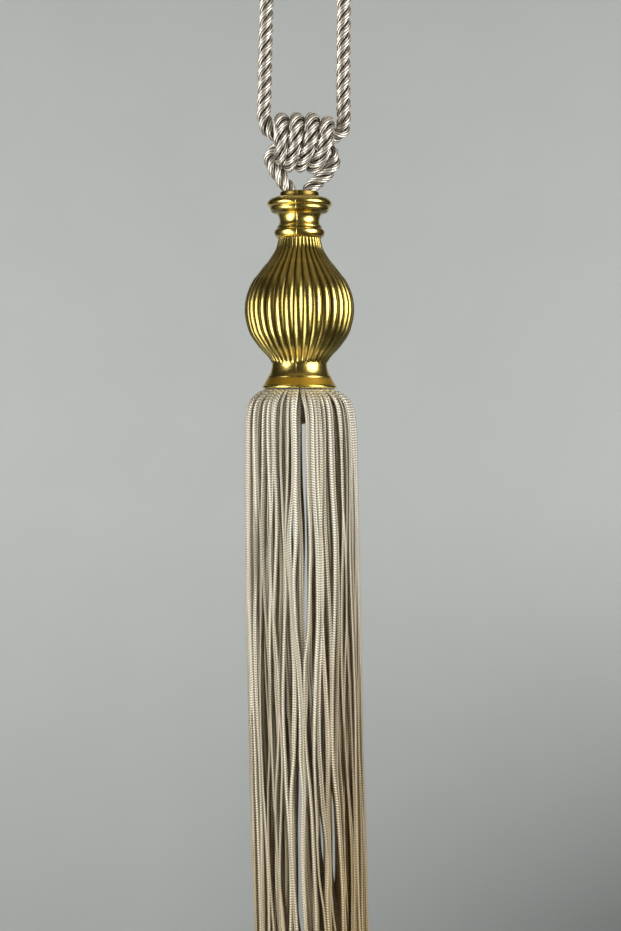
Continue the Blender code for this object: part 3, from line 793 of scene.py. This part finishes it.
profile = turned_profile(ROOT_RUNS, ROOT_STEP)
angle = -np.linspace(0.0, 2 * math.pi, ROOT_POINTS, endpoint=False)
rings = np.stack(
    [
        HEAD_X + profile[:, :1] * np.cos(angle),
        profile[:, :1] * np.sin(angle),
        HEAD_TOP_Z + np.broadcast_to(profile[:, 1:2], (len(profile), len(angle))),
    ],
    axis=-1,
)
root_shade = np.repeat(profile[:, 2], len(angle))
root_tube = (rings, np.linspace(0.0, 1.0, ROOT_POINTS + 1), profile[:, 1])
root = tube_mesh("skirt_root", [root_tube], cream_cord, root_shade)
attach(root, "root")

# Stage and light. A pale wall and floor, a soft window of light in front at either side, the left one
# tall, a light for the wall at each side, and a dim ceiling and room round them.
WALL_Y = 2200.0
WALL_TOP_Z = 1800.0
FLOOR_Z = -1600.0
FLOOR_FRONT_Y = -300.0
SWEEP_HALF_WIDTH = 1400.0
SWEEP_BEND = 300.0
BEND_POINTS = 17
PALE_GREY = (0.575, 0.61, 0.605)
GRAIN_CONTRAST = 0.03
SHADE_FROM_X = -0.3  # metres, where the wall starts to darken towards the right
SHADE_RISE_X = 1.15
SHADE_FROM_Z = -0.4  # metres, where it starts to darken towards the floor
SHADE_RISE_Z = 1.25
ROOM_COLOUR = (0.34, 0.28, 0.18)
ROOM_STRENGTH = 0.08
LIT_Z = -0.2  # metres, the height that the lights face
# Columns: light, azimuth and elevation in degrees, distance, width and height in metres, watts,
# colour, and what it faces.
LIGHTS = [
    ("left_window", -56.0, -17.0, 1.5, 1.0, 2.5, 34.0, (1.0, 0.98, 0.95), "tieback"),
    ("right_window", 57.0, 9.0, 1.5, 1.3, 1.5, 31.0, (1.0, 0.98, 0.95), "tieback"),
    ("ceiling", 0.0, 86.0, 1.8, 2.6, 2.6, 3.4, (1.0, 0.84, 0.62), "tieback"),
    ("wall_light_-100", -100.0, -3.0, 2.65, 0.6, 1.8, 46.0, (1.0, 1.0, 1.0), "wall"),
    ("wall_light_100", 100.0, -3.0, 2.65, 0.6, 1.8, 46.0, (1.0, 1.0, 1.0), "wall"),
]


def pale_wall():
    """Matt paint with a faint roller grain, with painted shade low down, most of all low on the right."""
    finish, shader, s = new_finish("pale_wall", {"Roughness": 0.9})
    place = s.node("ShaderNodeTexCoord", {}, {}, "Object")
    grain = s.node("ShaderNodeTexNoise", {}, {"Vector": place, "Scale": 8.0, "Detail": 6.0})
    deep, pale = ([c * share for c in PALE_GREY] for share in (1 - GRAIN_CONTRAST, 1 + GRAIN_CONTRAST))
    paint = grain.blend(deep, pale)
    spot = s.node("ShaderNodeSeparateXYZ", {}, {"Vector": place})
    right = ((spot - SHADE_FROM_X) * SHADE_RISE_X).clamped()
    low = ((spot.output("Z") - SHADE_FROM_Z) * -SHADE_RISE_Z).clamped()
    # Painted shade: the wall darkens towards the floor, and most of all low on the right.
    shade = (right * low) ** 1.3 * 0.4 + low * 0.2
    plug(shade.blend(paint, (0.0, 0.0, 0.0)), shader, "Base Color")
    bump = s.node("ShaderNodeBump", {}, {"Strength": 0.25, "Distance": 0.002, "Height": grain})
    plug(bump, shader, "Normal")
    return finish


def sweep_cloth():
    """Floor and wall as one sheet, joined by a wide bend."""
    turn = np.linspace(0.0, math.pi / 2, BEND_POINTS)
    y = np.concatenate([[FLOOR_FRONT_Y], WALL_Y - SWEEP_BEND + SWEEP_BEND * np.sin(turn), [WALL_Y]])
    z = np.concatenate([[FLOOR_Z], FLOOR_Z + SWEEP_BEND - SWEEP_BEND * np.cos(turn), [WALL_TOP_Z]])
    x = np.array([-SWEEP_HALF_WIDTH, SWEEP_HALF_WIDTH])
    points = np.stack([np.tile(x, len(y)), np.repeat(y, 2), np.repeat(z, 2)], axis=1) * MM
    first = 2 * np.arange(len(y) - 1)[:, None]
    mesh = bpy.data.meshes.new("sweep")
    mesh.from_pydata(points.tolist(), [], (first + np.array([0, 1, 3, 2])).tolist())
    mesh.polygons.foreach_set("use_smooth", np.ones(len(first), bool))
    mesh.materials.append(pale_wall())
    made = bpy.data.objects.new("sweep", mesh)
    bpy.context.scene.collection.objects.link(made)
    return made


def soft_light(name, azimuth, elevation, distance, width, height, power, colour, faces):
    """A soft oval of light at an azimuth from the camera's side, which faces the tieback or the wall."""
    lamp = bpy.data.lights.new(name, "AREA")
    lamp.shape = "ELLIPSE"
    lamp.size = width
    lamp.size_y = height
    lamp.energy = power
    lamp.color = colour
    made = bpy.data.objects.new(name, lamp)
    a, e = math.radians(azimuth), math.radians(elevation)
    away = np.array([math.sin(a) * math.cos(e), -math.cos(a) * math.cos(e), math.sin(e)])
    target = np.array([HEAD_X * MM, 0.0, LIT_Z])
    made.location = target + distance * away
    upright = math.radians(90.0)
    made.rotation_euler = (upright, 0.0, 0.0) if faces == "wall" else (upright - e, 0.0, a)
    made.visible_camera = False
    bpy.context.scene.collection.objects.link(made)


sweep_cloth()
for light in LIGHTS:
    soft_light(*light)
world = bpy.data.worlds.new("room")
world.use_nodes = True
background = world.node_tree.nodes["Background"]
background.inputs["Color"].default_value = (*ROOM_COLOUR, 1.0)
background.inputs["Strength"].default_value = ROOM_STRENGTH
bpy.context.scene.world = world
bpy.context.scene.view_settings.view_transform = "Standard"
